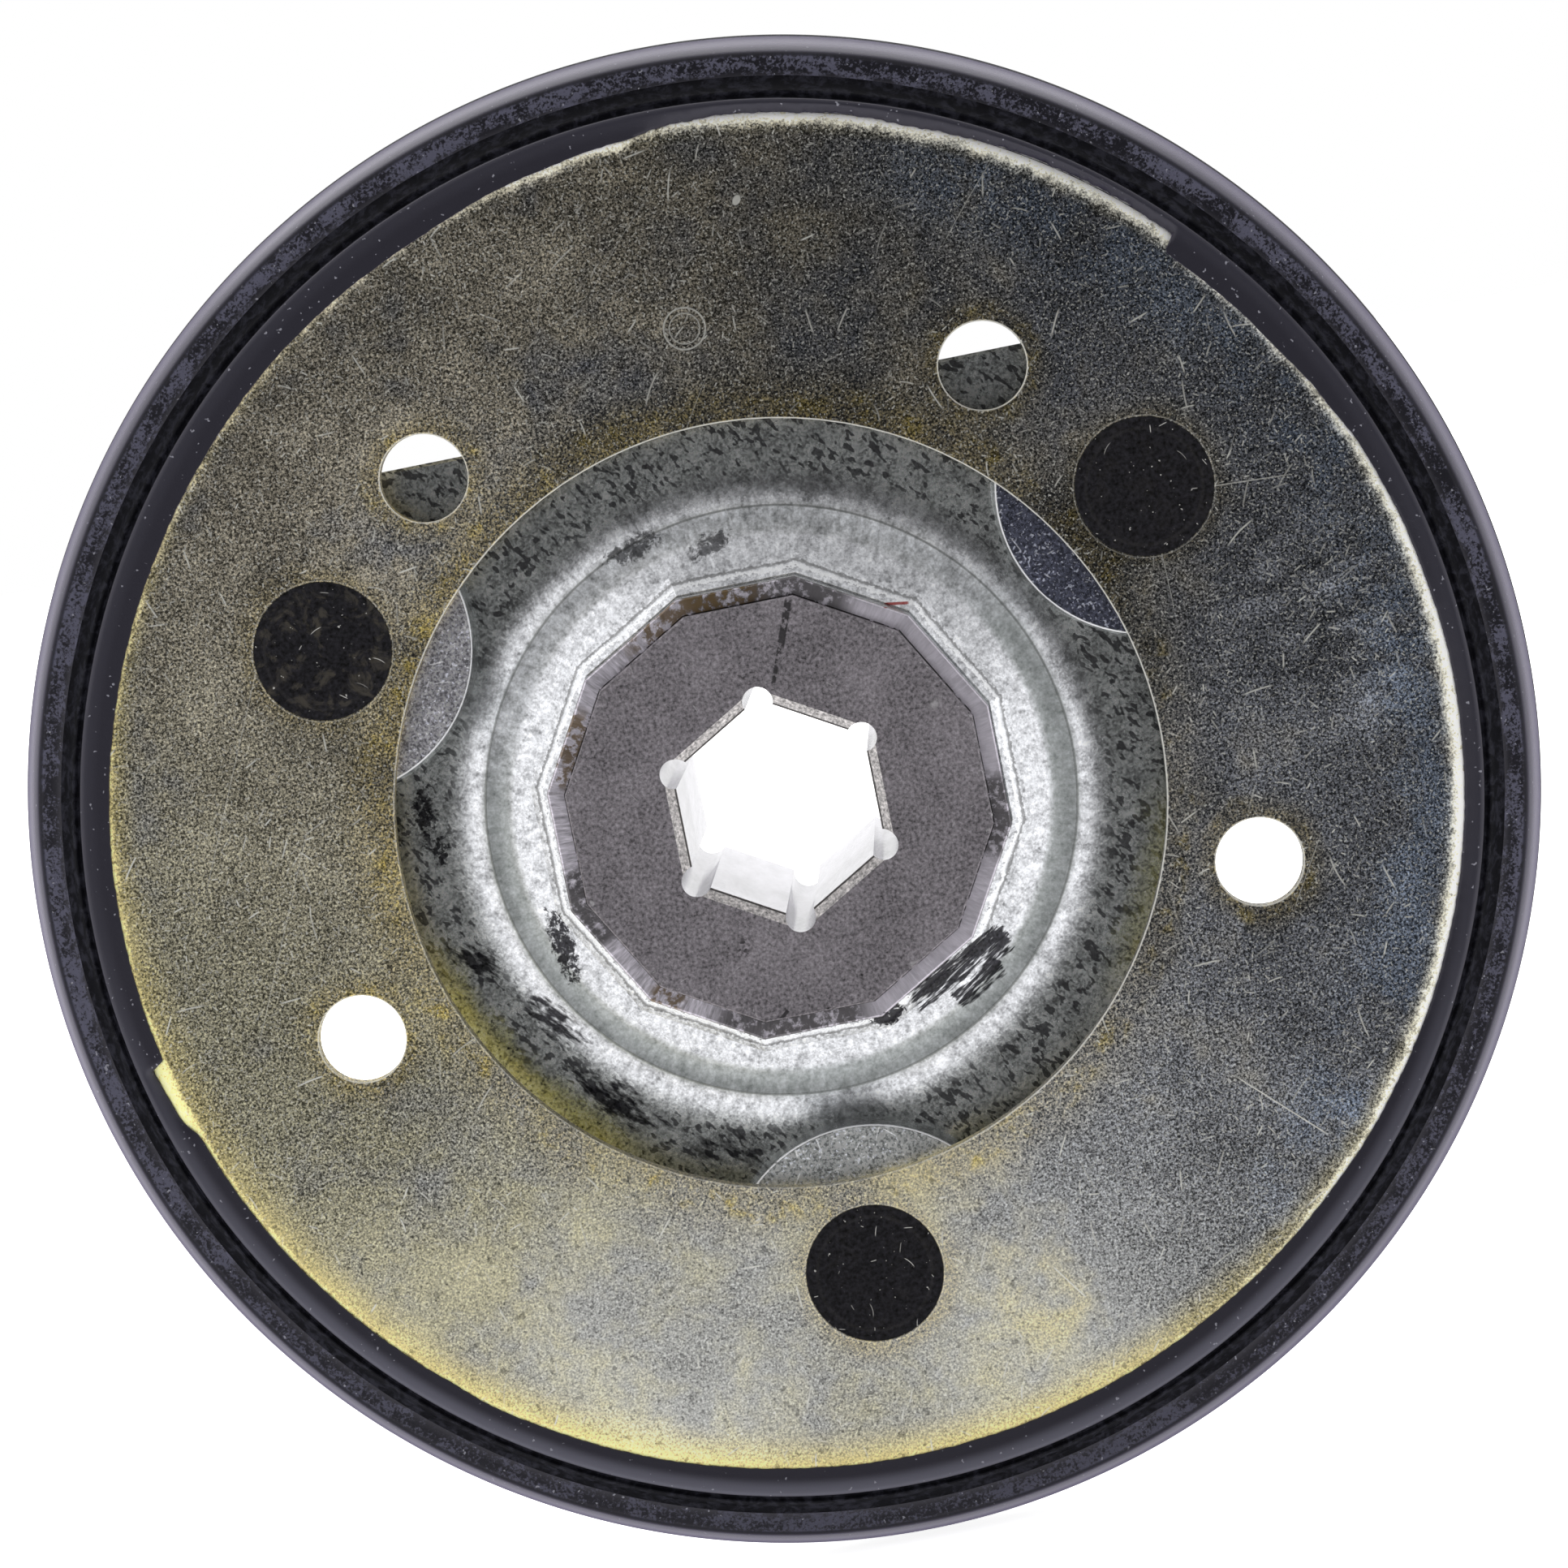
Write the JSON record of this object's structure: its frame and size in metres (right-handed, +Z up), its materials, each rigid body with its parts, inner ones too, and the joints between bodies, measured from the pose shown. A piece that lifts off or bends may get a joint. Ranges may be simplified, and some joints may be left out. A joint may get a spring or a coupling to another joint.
{
  "type": "friction drive wheel",
  "caption": "Rubber-tyred steel friction wheel riveted to a stamped carrier plate and a hexagonal sliding hub, for a small engine's friction-disc drive.",
  "frame": {"origin": "centre of the wheel: on the shaft axis, in the middle plane of the tyre", "axes": "the wheel turns about Y; the riveted front face looks towards -Y and the long end of the hub points to +Y; +Z is up, away from the rivet that takes the fifth hole of the disc"},
  "size_m": [0.1524, 0.0425, 0.1524],
  "materials": {
    "yellow_zinc_steel": "worn yellow chromated zinc plate on pressed steel",
    "black_rubber": "moulded black rubber, matt, dusty and scuffed",
    "clear_zinc_steel": "bright clear zinc plate, mottled",
    "sintered_steel": "sintered steel, matt grey",
    "black_rivet_steel": "black oxide steel"
  },
  "bodies": {
    "root": {"friction_disc": "yellow_zinc_steel", "rubber_tyre": "black_rubber", "hub_plate": "clear_zinc_steel", "hex_hub": "sintered_steel", "rivet_right": "black_rivet_steel", "rivet_left": "black_rivet_steel", "rivet_bottom": "black_rivet_steel"}
  },
  "joints": []
}
